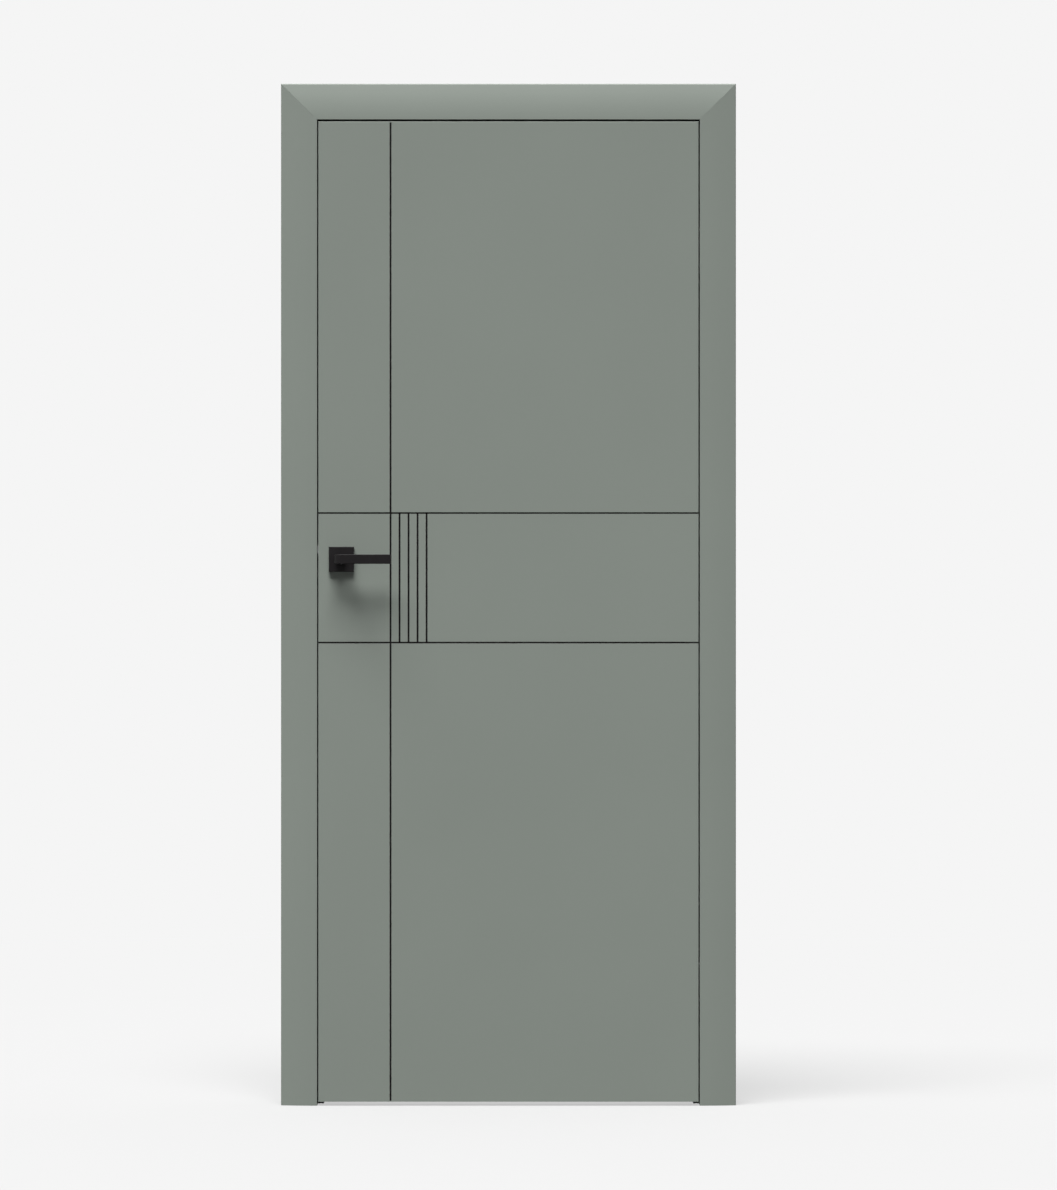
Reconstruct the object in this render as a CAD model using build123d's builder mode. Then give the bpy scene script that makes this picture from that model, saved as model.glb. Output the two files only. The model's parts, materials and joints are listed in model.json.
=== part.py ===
from build123d import *
import math
import os

os.makedirs("parts", exist_ok=True)

# Interior door set: flush leaf in a mitred frame, hung on two concealed hinges on the right.
# X runs across the doorway, Y from the face of the door towards its back, Z up from the floor.
# All lengths are in millimetres.

# Leaf
leaf_width = 776.0
leaf_height = 2000.0
leaf_thickness = 40.0
facing_thickness = 3.0
band_thickness = 1.5
stile_width = 60.0
rail_height = 60.0
leaf_edge_bevel = 0.8
lock_block_width = 90.0
lock_block_below = 190.0
lock_block_above = 210.0

# Clearances round the leaf
side_gap = 2.5
top_gap = 4.0
floor_gap = 8.0
seal_gap = 4.0

# Frame
casing_width = 74.0
casing_thickness = 16.0
casing_fall = 7.5
casing_edge_round = 2.5
casing_inner_round = 0.8
casing_relief_depth = 2.0
casing_relief_start = 30.0
casing_relief_end = 66.0
rear_relief_from_jamb = 2.0
rear_relief_from_edge = 8.0
wall_thickness = 100.0
jamb_thickness = 22.0
stop_projection = 12.0
jamb_end_play = 8.0

# Tongues that join the casings to the jambs
front_tongue_start = 8.0
front_tongue_thickness = 6.0
front_tongue_length = 8.0
front_groove_spare = 0.5
rear_tongue_start = 2.0
rear_tongue_thickness = 6.0
rear_tongue_length = 36.0
rear_groove_depth = 42.0
tongue_clearance = 0.1
rear_casing_reveal = 4.0

# Seal
seal_start = 4.5
seal_slot_width = 3.0
seal_slot_depth = 7.0
seal_foot_length = 6.0
seal_foot_width = 2.8
seal_bulb_half = 4.0
seal_bulb_height = 3.7
seal_wall = 1.0
seal_floor_gap = 2.0

# Inlay strips
inlay_width = 2.7
inlay_depth = 2.0
inlay_foot = 2.0
long_inlay_from_edge = 147.4
short_inlay_pitch = 18.4
short_inlay_count = 4
cross_inlay_below_spindle = 169.8
cross_inlay_above_spindle = 94.5

# Lever set
backset = 47.3
spindle_height = 1106.7
lever_height = 19.0
lever_left = 12.7
lever_right = 102.0
lever_reach = 55.0
grip_thickness = 11.0
neck_inner_side = 8.0
lever_outer_bend = 13.0
lever_inner_bend = 7.0
lever_edge_bevel = 0.8
lever_heel_round = 4.0
collar_radius = 9.0
collar_start = 2.0
collar_end = 13.0
collar_in_neck = 1.0
rose_side = 51.0
rose_thickness = 9.0
rose_wall = 1.5
rose_edge_bevel = 0.8
rose_base_clearance = 0.2
rose_base_thickness = 4.8
collar_clearance = 0.3
spindle_side = 8.0
spindle_clearance = 0.1
spindle_bore_start = 36.0
spindle_end_spare = 2.0
spindle_bevel = 0.5
rose_bolt_offset = 19.0
rose_bolt_radius = 2.0
rose_bolt_head_radius = 3.6
rose_bolt_head_height = 2.2
rose_bolt_clearance = 0.3
lever_slot_height = 18.0

# Latch
case_thickness = 15.0
case_depth = 77.0
case_above = 50.0
case_below = 36.0
case_wall = 1.5
case_pocket_clearance = 0.5
faceplate_width = 20.0
faceplate_length = 170.0
faceplate_thickness = 3.0
faceplate_centre = 7.0
bolt_centre = 20.0
bolt_height = 16.0
bolt_thickness = 11.0
bolt_throw = 11.0
bolt_head_back = 12.0
bolt_clearance = 0.3
bolt_nose = 3.0
bolt_slope_stop = 0.5
tail_height = 6.0
tail_thickness = 4.0
tail_reach = 18.0
tail_lift = 1.5
hook_gap = 5.0
hook_drop = 8.0
follower_radius = 7.5
follower_clearance = 0.05
follower_arm_width = 6.0
follower_arm_length = 20.0
follower_arm_thickness = 6.0
spring_thickness = 0.5
spring_width = 8.0
spring_clearance = 0.4
spring_drop = 3.0
spring_bow = 5.0
spring_bow_rise = 10.0

# Strike
strike_width = 22.0
strike_shorter_by = 60.0
strike_thickness = 2.0
strike_hole_width = 16.0
strike_hole_height = 22.0
strike_pocket_depth = 17.0

# Concealed hinges
hinge_from_bottom = 242.0
hinge_from_top = 258.0
hinge_plate_front = 5.0
hinge_plate_width = 31.0
hinge_length = 160.0
hinge_depth = 36.0
window_front = 6.5
window_back = 34.5
window_height = 62.0
window_depth = 34.5
link_pivot_in = 5.5
link_pivot_back = 16.0
link_rest_deg = 75.0
link_length = 38.0
link_radius = 2.5
link_eye_radius = 4.0
link_tip_bevel = 1.5
link_height = 26.0
link_gap = 1.0
pin_radius = 2.0
pin_clearance = 0.05
backing_depth = 22.0
backing_width = 34.0
backing_height = 200.0

# Small fixings
screw_radius = 2.0
screw_head_radius = 4.0
faceplate_screw_inset = 10.0
strike_screw_inset = 11.0
fixing_hole_radius = 3.25
fixing_hole_back = 57.0
fixing_hole_inset = 180.0
bracket_leg = 60.0
bracket_width = 24.0
bracket_thickness = 2.0
bracket_back = 34.0

# Sizes that follow from the ones above
frame_depth = casing_thickness + wall_thickness + casing_thickness
face_y = (lever_reach - frame_depth) / 2
opening_half = leaf_width / 2 + side_gap
leaf_half = leaf_width / 2
leaf_top = floor_gap + leaf_height
opening_top = leaf_top + top_gap
frame_top = opening_top + casing_width
stop_back = leaf_thickness + seal_gap
jamb_back = casing_thickness + wall_thickness - jamb_end_play
core_back = leaf_thickness - facing_thickness
spindle_x = -leaf_half + backset
spindle_z = floor_gap + spindle_height
middle_v = leaf_thickness / 2
bolt_z = spindle_z + bolt_centre
case_front_x = -leaf_half + faceplate_thickness
case_back_x = case_front_x + case_depth
link_rest = math.radians(link_rest_deg)
hinge_low = floor_gap + hinge_from_bottom
hinge_high = leaf_top - hinge_from_top
strike_length = faceplate_length - strike_shorter_by
faceplate_screw_offset = faceplate_length / 2 - faceplate_screw_inset
strike_screw_offset = strike_length / 2 - strike_screw_inset
fixing_heights = (fixing_hole_inset, opening_top / 2, opening_top - fixing_hole_inset)


def across(v):
    """Plane parallel to the face of the door, v behind it, looking out to the front."""
    return Plane(origin=(0, face_y + v, 0), x_dir=(1, 0, 0), z_dir=(0, -1, 0))


def slab(x0, x1, v0, v1, z0, z1, mode=Mode.ADD):
    """Upright board between two values across, back from the face and up from the floor."""
    with BuildSketch(Plane.XY.offset(z0)) as profile:
        with Locations(((x0 + x1) / 2, face_y + (v0 + v1) / 2)):
            Rectangle(abs(x1 - x0), v1 - v0)
    extrude(profile.sketch, amount=z1 - z0, mode=mode)


def drill_back(x, z, radius, v0, v1, mode=Mode.SUBTRACT):
    """Round hole or rod running straight back through the door."""
    with BuildSketch(across(v0)) as profile:
        with Locations((x, z)):
            Circle(radius)
    extrude(profile.sketch, amount=v0 - v1, mode=mode)


def drill_across(v, z, radius, x0, x1, mode=Mode.SUBTRACT):
    """Round hole or rod running straight across the door."""
    with BuildSketch(Plane.YZ.offset(x0)) as profile:
        with Locations((face_y + v, z)):
            Circle(radius)
    extrude(profile.sketch, amount=x1 - x0, mode=mode)


def save(piece, name):
    """Labels a finished piece and writes it out."""
    piece.part.label = name
    export_step(piece.part, f"parts/{name}.step")


def screw_hole(plate, x, z, facing_out):
    """Countersunk hole straight through a plate let into an edge, its wide end at x."""
    face = Plane(origin=(x, face_y + middle_v, z), z_dir=(facing_out, 0, 0))
    with Locations(face.location):
        CounterSinkHole(screw_radius, screw_head_radius, depth=plate)


# Casings and jambs

mitre_right = Plane(origin=(opening_half, 0, opening_top), z_dir=(-1, 0, 1))
mitre_left = Plane(origin=(-opening_half, 0, opening_top), z_dir=(1, 0, 1))


def front_casing_outline(at):
    """Bulged front, flat at the gap and falling to the outer edge, with a tongue and a relief behind."""
    tongue_end = front_tongue_start + front_tongue_thickness
    bulge_radius = (casing_width**2 + casing_fall**2) / (2 * casing_fall)
    bulge_middle = bulge_radius - math.sqrt(bulge_radius**2 - (casing_width / 2) ** 2)
    relief = casing_thickness - casing_relief_depth
    with BuildLine() as border:
        ThreePointArc(at(0, 0), at(casing_width / 2, bulge_middle), at(casing_width, casing_fall))
        Polyline(
            at(casing_width, casing_fall),
            at(casing_width, casing_thickness),
            at(casing_relief_end, casing_thickness),
            at(casing_relief_end, relief),
            at(casing_relief_start, relief),
            at(casing_relief_start, casing_thickness),
            at(tongue_end, casing_thickness),
            at(tongue_end, casing_thickness + front_tongue_length),
            at(front_tongue_start, casing_thickness + front_tongue_length),
            at(front_tongue_start, casing_thickness),
            at(0, casing_thickness),
            at(0, 0),
        )
    make_face(border.edges())


def rear_casing_outline(at):
    """The same bulged board turned round, with a long tongue that slides in the jamb."""
    inner = rear_casing_reveal - stop_projection
    outer = inner + casing_width
    bulge_radius = (casing_width**2 + casing_fall**2) / (2 * casing_fall)
    bulge_middle = bulge_radius - math.sqrt(bulge_radius**2 - (casing_width / 2) ** 2)
    wall_side = frame_depth - casing_thickness
    tongue_end = rear_tongue_start + rear_tongue_thickness
    with BuildLine() as border:
        ThreePointArc(
            at(inner, frame_depth),
            at(inner + casing_width / 2, frame_depth - bulge_middle),
            at(outer, frame_depth - casing_fall),
        )
        Polyline(
            at(outer, frame_depth - casing_fall),
            at(outer, wall_side),
            at(outer - rear_relief_from_edge, wall_side),
            at(outer - rear_relief_from_edge, wall_side + casing_relief_depth),
            at(jamb_thickness + rear_relief_from_jamb, wall_side + casing_relief_depth),
            at(jamb_thickness + rear_relief_from_jamb, wall_side),
            at(tongue_end, wall_side),
            at(tongue_end, wall_side - rear_tongue_length),
            at(rear_tongue_start, wall_side - rear_tongue_length),
            at(rear_tongue_start, wall_side),
            at(inner, wall_side),
            at(inner, frame_depth),
        )
    make_face(border.edges())


def jamb_outline(at):
    """Jamb board: rebate for the leaf, stop with a seal slot, grooves for both casing tongues."""
    front_groove_from = front_tongue_start - tongue_clearance
    front_groove_to = front_tongue_start + front_tongue_thickness + tongue_clearance
    front_groove_end = casing_thickness + front_tongue_length + front_groove_spare
    rear_groove_from = rear_tongue_start - tongue_clearance
    rear_groove_to = rear_tongue_start + rear_tongue_thickness + tongue_clearance
    rear_groove_end = jamb_back - rear_groove_depth
    with BuildLine() as border:
        Polyline(
            at(0, casing_thickness),
            at(front_groove_from, casing_thickness),
            at(front_groove_from, front_groove_end),
            at(front_groove_to, front_groove_end),
            at(front_groove_to, casing_thickness),
            at(jamb_thickness, casing_thickness),
            at(jamb_thickness, jamb_back),
            at(rear_groove_to, jamb_back),
            at(rear_groove_to, rear_groove_end),
            at(rear_groove_from, rear_groove_end),
            at(rear_groove_from, jamb_back),
            at(-stop_projection, jamb_back),
            at(-stop_projection, stop_back),
            at(-seal_start - seal_slot_width, stop_back),
            at(-seal_start - seal_slot_width, stop_back + seal_slot_depth),
            at(-seal_start, stop_back + seal_slot_depth),
            at(-seal_start, stop_back),
            at(0, stop_back),
            close=True,
        )
    make_face(border.edges())


def seal_outline(at):
    """Hollow bulb that the leaf closes on, with a foot in the slot of the stop."""
    middle = -seal_start - seal_slot_width / 2
    foot = seal_foot_width / 2
    inside = seal_bulb_half - 2 * seal_wall
    with BuildLine() as border:
        ThreePointArc(
            at(middle - seal_bulb_half, stop_back),
            at(middle, stop_back - seal_bulb_height),
            at(middle + seal_bulb_half, stop_back),
        )
        Polyline(
            at(middle + seal_bulb_half, stop_back),
            at(middle + foot, stop_back),
            at(middle + foot, stop_back + seal_foot_length),
            at(middle - foot, stop_back + seal_foot_length),
            at(middle - foot, stop_back),
            at(middle - seal_bulb_half, stop_back),
        )
    make_face(border.edges())
    with BuildLine() as border:
        ThreePointArc(
            at(middle - inside, stop_back - seal_wall),
            at(middle, stop_back - seal_bulb_height + seal_wall),
            at(middle + inside, stop_back - seal_wall),
        )
        Line(at(middle + inside, stop_back - seal_wall), at(middle - inside, stop_back - seal_wall))
    make_face(border.edges(), mode=Mode.SUBTRACT)


def on_side(u, v):
    """Point of a section drawn for the right upright, u outwards from the gap."""
    return (opening_half + u, face_y + v)


def on_head(u, v):
    """Point of the same section drawn for the head, u upwards from the gap."""
    return (face_y + v, opening_top + u)


def round_edges(sketch, corners, radius):
    """Rounds the corners of a sketch that lie nearest to the given points."""
    for corner in corners:
        fillet(sketch.vertices().sort_by_distance(corner)[0], radius)


def upright(outline, rounds, start=0.0):
    """One right-hand upright of a section, cut to the mitre. Call inside a part."""
    with BuildSketch(Plane.XY.offset(start)) as section:
        outline(on_side)
        for u, v, radius in rounds:
            round_edges(section, [on_side(u, v)], radius)
    extrude(section.sketch, amount=frame_top - start)
    split(bisect_by=mitre_right, keep=Keep.BOTTOM)


def head(outline, rounds):
    """The head piece of a section, mitred at both ends. Call inside a part."""
    with BuildSketch(Plane.YZ) as section:
        outline(on_head)
        for u, v, radius in rounds:
            round_edges(section, [on_head(u, v)], radius)
    extrude(section.sketch, amount=opening_half + casing_width, both=True)
    split(bisect_by=mitre_right, keep=Keep.TOP)
    split(bisect_by=mitre_left, keep=Keep.TOP)


front_rounds = [
    (casing_width, casing_fall, casing_edge_round),
    (0, 0, casing_inner_round),
]
rear_inner = rear_casing_reveal - stop_projection
rear_rounds = [
    (rear_inner + casing_width, frame_depth - casing_fall, casing_edge_round),
    (rear_inner, frame_depth, casing_edge_round),
]


def to_left():
    """Turns the right-hand piece in hand into its left-hand twin."""
    mirror(about=Plane.YZ, mode=Mode.REPLACE)


def hinge_pocket(x, inward, z, depth):
    """Round-ended pocket for a hinge body, cut from the edge at x."""
    with BuildSketch(Plane.YZ.offset(x)) as profile:
        with Locations((face_y + hinge_plate_front + hinge_plate_width / 2, z)):
            SlotOverall(hinge_length, hinge_plate_width, rotation=90)
    extrude(profile.sketch, amount=inward * depth, mode=Mode.SUBTRACT)


def strike_cut():
    """Bed of the strike plate and the pocket behind it, for the left edge of the opening."""
    with BuildSketch(Plane.YZ.offset(-opening_half)) as profile:
        with Locations((face_y + middle_v, bolt_z)):
            Rectangle(strike_width, strike_length)
    extrude(profile.sketch, amount=-strike_thickness, mode=Mode.SUBTRACT)
    with BuildSketch(Plane.YZ.offset(-opening_half)) as profile:
        with Locations((face_y + middle_v, bolt_z)):
            Rectangle(strike_hole_width, strike_hole_height)
    extrude(profile.sketch, amount=-strike_pocket_depth, mode=Mode.SUBTRACT)


def wall_fixing_holes():
    """Holes through the right jamb for the screws into the wall."""
    for z in fixing_heights:
        drill_across(
            fixing_hole_back,
            z,
            fixing_hole_radius,
            opening_half - stop_projection,
            opening_half + jamb_thickness,
        )


with BuildPart() as casing_front_right:
    upright(front_casing_outline, front_rounds)
    for hinge_z in (hinge_low, hinge_high):
        hinge_pocket(opening_half, 1, hinge_z, hinge_depth)
save(casing_front_right, "casing_front_hinge_side")

with BuildPart() as casing_front_left:
    upright(front_casing_outline, front_rounds)
    to_left()
    strike_cut()
save(casing_front_left, "casing_front_latch_side")

with BuildPart() as casing_front_head:
    head(front_casing_outline, front_rounds)
save(casing_front_head, "casing_front_head")

with BuildPart() as casing_rear_right:
    upright(rear_casing_outline, rear_rounds)
save(casing_rear_right, "casing_rear_hinge_side")

with BuildPart() as casing_rear_left:
    upright(rear_casing_outline, rear_rounds)
    to_left()
save(casing_rear_left, "casing_rear_latch_side")

with BuildPart() as casing_rear_head:
    head(rear_casing_outline, rear_rounds)
save(casing_rear_head, "casing_rear_head")

with BuildPart() as jamb_right:
    upright(jamb_outline, [])
    for hinge_z in (hinge_low, hinge_high):
        hinge_pocket(opening_half, 1, hinge_z, hinge_depth)
    wall_fixing_holes()
save(jamb_right, "jamb_hinge_side")

with BuildPart() as jamb_left:
    upright(jamb_outline, [])
    wall_fixing_holes()
    to_left()
    strike_cut()
save(jamb_left, "jamb_latch_side")

with BuildPart() as jamb_head:
    head(jamb_outline, [])
save(jamb_head, "jamb_head")

with BuildPart() as seal_right:
    upright(seal_outline, [], seal_floor_gap)
save(seal_right, "seal_hinge_side")

with BuildPart() as seal_left:
    upright(seal_outline, [], seal_floor_gap)
    to_left()
save(seal_left, "seal_latch_side")

with BuildPart() as seal_head:
    head(seal_outline, [])
save(seal_head, "seal_head")

# Blocks behind the hinge jamb that take the hinge bodies

with BuildPart() as backing:
    for hinge_z in (hinge_low, hinge_high):
        slab(
            opening_half + jamb_thickness,
            opening_half + jamb_thickness + backing_depth,
            casing_thickness,
            casing_thickness + backing_width,
            hinge_z - backing_height / 2,
            hinge_z + backing_height / 2,
        )
    for hinge_z in (hinge_low, hinge_high):
        hinge_pocket(opening_half, 1, hinge_z, hinge_depth)
save(backing, "hinge_backing_blocks")

# Angle brackets that hold the jambs together outside the corners

with BuildPart() as brackets:
    outside = opening_half + jamb_thickness
    above = opening_top + jamb_thickness
    with BuildSketch(across(bracket_back)) as angle:
        with BuildLine():
            Polyline(
                (outside, above - bracket_leg),
                (outside + bracket_thickness, above - bracket_leg),
                (outside + bracket_thickness, above + bracket_thickness),
                (outside - bracket_leg, above + bracket_thickness),
                (outside - bracket_leg, above),
                (outside, above),
                close=True,
            )
        make_face()
        round_edges(angle, [(outside + bracket_thickness, above + bracket_thickness)], bracket_thickness)
    extrude(amount=-bracket_width)
    mirror(about=Plane.YZ)
save(brackets, "jamb_corner_brackets")

# Strike plate on the latch jamb

with BuildPart() as strike:
    with BuildSketch(Plane.YZ.offset(-opening_half)):
        with Locations((face_y + middle_v, bolt_z)):
            Rectangle(strike_width, strike_length)
            Rectangle(strike_hole_width, strike_hole_height, mode=Mode.SUBTRACT)
    extrude(amount=-strike_thickness)
    for offset in (-strike_screw_offset, strike_screw_offset):
        screw_hole(strike_thickness, -opening_half, bolt_z + offset, 1)
save(strike, "strike_plate")

# Concealed hinges: a body in the frame, a body in the leaf, and two links that cross between them

plate_v = hinge_plate_front + hinge_plate_width / 2
window_v = (window_front + window_back) / 2
window_width = window_back - window_front


def hinge_body(z, inward):
    """Round-ended hinge body let into an edge, open in the middle for the links."""
    edge = opening_half if inward > 0 else leaf_half
    with BuildSketch(Plane.YZ.offset(edge)) as profile:
        with Locations((face_y + plate_v, z)):
            SlotOverall(hinge_length, hinge_plate_width, rotation=90)
    extrude(profile.sketch, amount=inward * hinge_depth)
    with BuildSketch(Plane.YZ.offset(edge)) as profile:
        with Locations((face_y + window_v, z)):
            Rectangle(window_width, window_height)
    extrude(profile.sketch, amount=inward * window_depth, mode=Mode.SUBTRACT)


def hinge_pin(z, inward):
    """Pin that hangs from the roof of the frame window, or stands on the floor of the leaf window."""
    start = z + inward * window_height / 2
    with BuildSketch(Plane.XY.offset(start)) as profile:
        with Locations((gap_middle + inward * link_pivot_in, face_y + link_pivot_back)):
            Circle(pin_radius)
    extrude(profile.sketch, amount=-inward * (window_height / 2 - link_gap / 2))


def hinge_link(z, inward):
    """Flat link with an eye on its pin, reaching across the gap into the other body."""
    low = z + link_gap / 2 if inward > 0 else z - link_gap / 2 - link_height
    pivot = (gap_middle + inward * link_pivot_in, face_y + link_pivot_back)
    reach_x = -inward * link_length * math.sin(link_rest)
    reach_y = link_length * math.cos(link_rest)
    along = Plane(origin=(*pivot, low), x_dir=(reach_x, reach_y, 0), z_dir=(0, 0, 1))
    tip = link_length + link_radius
    with BuildSketch(along) as profile:
        with BuildLine():
            Polyline(
                (0, -link_radius),
                (tip - link_tip_bevel, -link_radius),
                (tip, link_tip_bevel - link_radius),
                (tip, link_radius - link_tip_bevel),
                (tip - link_tip_bevel, link_radius),
                (0, link_radius),
                close=True,
            )
        make_face()
        Circle(link_eye_radius)
        Circle(pin_radius + pin_clearance, mode=Mode.SUBTRACT)
    extrude(profile.sketch, amount=link_height)


gap_middle = (leaf_half + opening_half) / 2

for level, hinge_z in (("lower", hinge_low), ("upper", hinge_high)):
    with BuildPart() as frame_half:
        hinge_body(hinge_z, 1)
    save(frame_half, f"hinge_frame_body_{level}")

    with BuildPart() as leaf_half_body:
        hinge_body(hinge_z, -1)
    save(leaf_half_body, f"hinge_leaf_body_{level}")

    with BuildPart() as frame_link:
        hinge_link(hinge_z, 1)
    save(frame_link, f"hinge_frame_link_{level}")

    with BuildPart() as leaf_link:
        hinge_link(hinge_z, -1)
    save(leaf_link, f"hinge_leaf_link_{level}")

for side, inward in (("frame", 1), ("leaf", -1)):
    with BuildPart() as pins:
        for hinge_z in (hinge_low, hinge_high):
            hinge_pin(hinge_z, inward)
    save(pins, f"hinge_{side}_pins")

# Leaf

inner_half = leaf_half - band_thickness
panel_top = leaf_top - band_thickness
long_inlay_x = -leaf_half + long_inlay_from_edge
cross_heights = (spindle_z - cross_inlay_below_spindle, spindle_z + cross_inlay_above_spindle)
short_inlay_xs = [long_inlay_x + short_inlay_pitch * (i + 1) for i in range(short_inlay_count)]


def cross_strips(v0, v1, mode=Mode.ADD):
    """The two strips across the leaf, from edge to edge."""
    for z in cross_heights:
        slab(-leaf_half, leaf_half, v0, v1, z - inlay_width / 2, z + inlay_width / 2, mode)


def long_strips(v0, v1, mode=Mode.ADD):
    """The strip over the height of the leaf, broken where the two strips across pass."""
    levels = [floor_gap + inlay_foot, *cross_heights, panel_top]
    for i in range(len(levels) - 1):
        low = levels[i] + (inlay_width / 2 if i > 0 else 0)
        high = levels[i + 1] - (inlay_width / 2 if i < len(levels) - 2 else 0)
        slab(long_inlay_x - inlay_width / 2, long_inlay_x + inlay_width / 2, v0, v1, low, high, mode)


def short_strips(v0, v1, mode=Mode.ADD):
    """The four short strips between the two strips across."""
    low = cross_heights[0] + inlay_width / 2
    high = cross_heights[1] - inlay_width / 2
    for x in short_inlay_xs:
        slab(x - inlay_width / 2, x + inlay_width / 2, v0, v1, low, high, mode)


face_sides = {
    "front": (0, inlay_depth),
    "back": (leaf_thickness - inlay_depth, leaf_thickness),
}


def latch_mortise():
    """Pocket for the latch case and the bed of its faceplate, in the left edge of the leaf."""
    spare = case_pocket_clearance
    slab(
        case_front_x - spare,
        case_back_x + spare,
        middle_v - case_thickness / 2 - spare,
        middle_v + case_thickness / 2 + spare,
        spindle_z - case_below - spare,
        spindle_z + case_above + spare,
        Mode.SUBTRACT,
    )
    with BuildSketch(Plane.YZ.offset(-leaf_half)) as profile:
        with Locations((face_y + middle_v, spindle_z + faceplate_centre)):
            Rectangle(faceplate_width, faceplate_length)
    extrude(profile.sketch, amount=faceplate_thickness, mode=Mode.SUBTRACT)


def lever_slot(v0, v1):
    """Round-ended slot through a layer of the leaf for the spindle and the bolts of the roses."""
    with BuildSketch(across(v0)) as profile:
        with Locations((spindle_x, spindle_z)):
            SlotCenterToCenter(2 * rose_bolt_offset - lever_slot_height / 2, lever_slot_height)
    extrude(profile.sketch, amount=v0 - v1, mode=Mode.SUBTRACT)


def hinge_pockets_in_leaf():
    """Pockets for both hinge bodies in the right edge of the leaf."""
    for z in (hinge_low, hinge_high):
        hinge_pocket(leaf_half, -1, z, hinge_depth)


for side, (v0, v1) in face_sides.items():
    outer_v, inner_v = (0, facing_thickness) if side == "front" else (leaf_thickness, core_back)
    with BuildPart() as facing:
        slab(-inner_half, inner_half, min(outer_v, inner_v), max(outer_v, inner_v), floor_gap, panel_top)
        cross_strips(v0, v1, Mode.SUBTRACT)
        long_strips(v0, v1, Mode.SUBTRACT)
        short_strips(v0, v1, Mode.SUBTRACT)
        lever_slot(min(outer_v, inner_v), max(outer_v, inner_v))
    save(facing, f"facing_{side}")

for strips, name in ((cross_strips, "cross"), (long_strips, "long"), (short_strips, "short")):
    with BuildPart() as inlay:
        for v0, v1 in face_sides.values():
            strips(v0, v1)
    save(inlay, f"inlay_{name}")


def edge_band():
    """Band along the right edge of the leaf, notched where the inlays run out."""
    with BuildSketch(Plane.XY.offset(floor_gap)) as band:
        with Locations((leaf_half - band_thickness / 2, face_y + middle_v)):
            Rectangle(band_thickness, leaf_thickness)
        outer_corners = band.vertices().group_by(Axis.X)[-1]
        chamfer(outer_corners, leaf_edge_bevel)
    extrude(band.sketch, amount=leaf_height - band_thickness)
    for v0, v1 in face_sides.values():
        cross_strips(v0, v1, Mode.SUBTRACT)


with BuildPart() as band_right:
    edge_band()
    hinge_pockets_in_leaf()
save(band_right, "edge_band_hinge_side")

with BuildPart() as band_left:
    edge_band()
    to_left()
    latch_mortise()
save(band_left, "edge_band_latch_side")

with BuildPart() as band_top:
    with BuildSketch(Plane.YZ) as band:
        with Locations((face_y + middle_v, leaf_top - band_thickness / 2)):
            Rectangle(leaf_thickness, band_thickness)
        outer_corners = band.vertices().group_by(Axis.Y)[-1]
        chamfer(outer_corners, leaf_edge_bevel)
    extrude(amount=leaf_half, both=True)
save(band_top, "edge_band_top")

with BuildPart() as stile_right:
    slab(inner_half - stile_width, inner_half, facing_thickness, core_back, floor_gap, panel_top)
    hinge_pockets_in_leaf()
save(stile_right, "stile_hinge_side")

with BuildPart() as stile_left:
    slab(-inner_half, stile_width - inner_half, facing_thickness, core_back, floor_gap, panel_top)
    latch_mortise()
    lever_slot(facing_thickness, core_back)
save(stile_left, "stile_latch_side")

rail_half = inner_half - stile_width

with BuildPart() as rail_bottom:
    slab(-rail_half, rail_half, facing_thickness, core_back, floor_gap, floor_gap + rail_height)
save(rail_bottom, "rail_bottom")

with BuildPart() as rail_top:
    slab(-rail_half, rail_half, facing_thickness, core_back, panel_top - rail_height, panel_top)
save(rail_top, "rail_top")

lock_block_right = lock_block_width - rail_half

with BuildPart() as lock_block:
    slab(
        -rail_half,
        lock_block_right,
        facing_thickness,
        core_back,
        spindle_z - lock_block_below,
        spindle_z + lock_block_above,
    )
    latch_mortise()
    lever_slot(facing_thickness, core_back)
save(lock_block, "lock_block")

with BuildPart() as core:
    slab(
        -rail_half,
        rail_half,
        facing_thickness,
        core_back,
        floor_gap + rail_height,
        panel_top - rail_height,
    )
    slab(
        -rail_half,
        lock_block_right,
        facing_thickness,
        core_back,
        spindle_z - lock_block_below,
        spindle_z + lock_block_above,
        Mode.SUBTRACT,
    )
save(core, "leaf_core")

# Latch

case_front_v = middle_v - case_thickness / 2
case_back_v = middle_v + case_thickness / 2
case_low = spindle_z - case_below
case_high = spindle_z + case_above
bolt_low = bolt_z - bolt_height / 2
bolt_high = bolt_z + bolt_height / 2
bolt_front_v = middle_v - bolt_thickness / 2
bolt_back_v = middle_v + bolt_thickness / 2
tail_low = spindle_z + follower_arm_length + tail_lift


def bolt_window(x0, x1):
    """Hole that the latch bolt slides in."""
    slab(
        x0,
        x1,
        bolt_front_v - bolt_clearance,
        bolt_back_v + bolt_clearance,
        bolt_low - bolt_clearance,
        bolt_high + bolt_clearance,
        Mode.SUBTRACT,
    )


def plate_holes(v0, v1):
    """Holes in the side of the case for the follower and the bolts of the roses."""
    drill_back(spindle_x, spindle_z, follower_radius + follower_clearance, v0, v1)
    reach = rose_bolt_radius + rose_bolt_clearance
    for offset in (-rose_bolt_offset, rose_bolt_offset):
        slab(
            spindle_x + offset - reach,
            spindle_x + offset + reach,
            v0,
            v1,
            spindle_z - reach,
            spindle_z + reach,
            Mode.SUBTRACT,
        )


with BuildPart() as case:
    slab(case_front_x, case_back_x, case_front_v + case_wall, case_back_v, case_low, case_high)
    slab(
        case_front_x + case_wall,
        case_back_x - case_wall,
        case_front_v + case_wall,
        case_back_v - case_wall,
        case_low + case_wall,
        case_high - case_wall,
        Mode.SUBTRACT,
    )
    bolt_window(case_front_x, case_front_x + case_wall)
    plate_holes(case_back_v - case_wall, case_back_v)
save(case, "latch_case")

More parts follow.
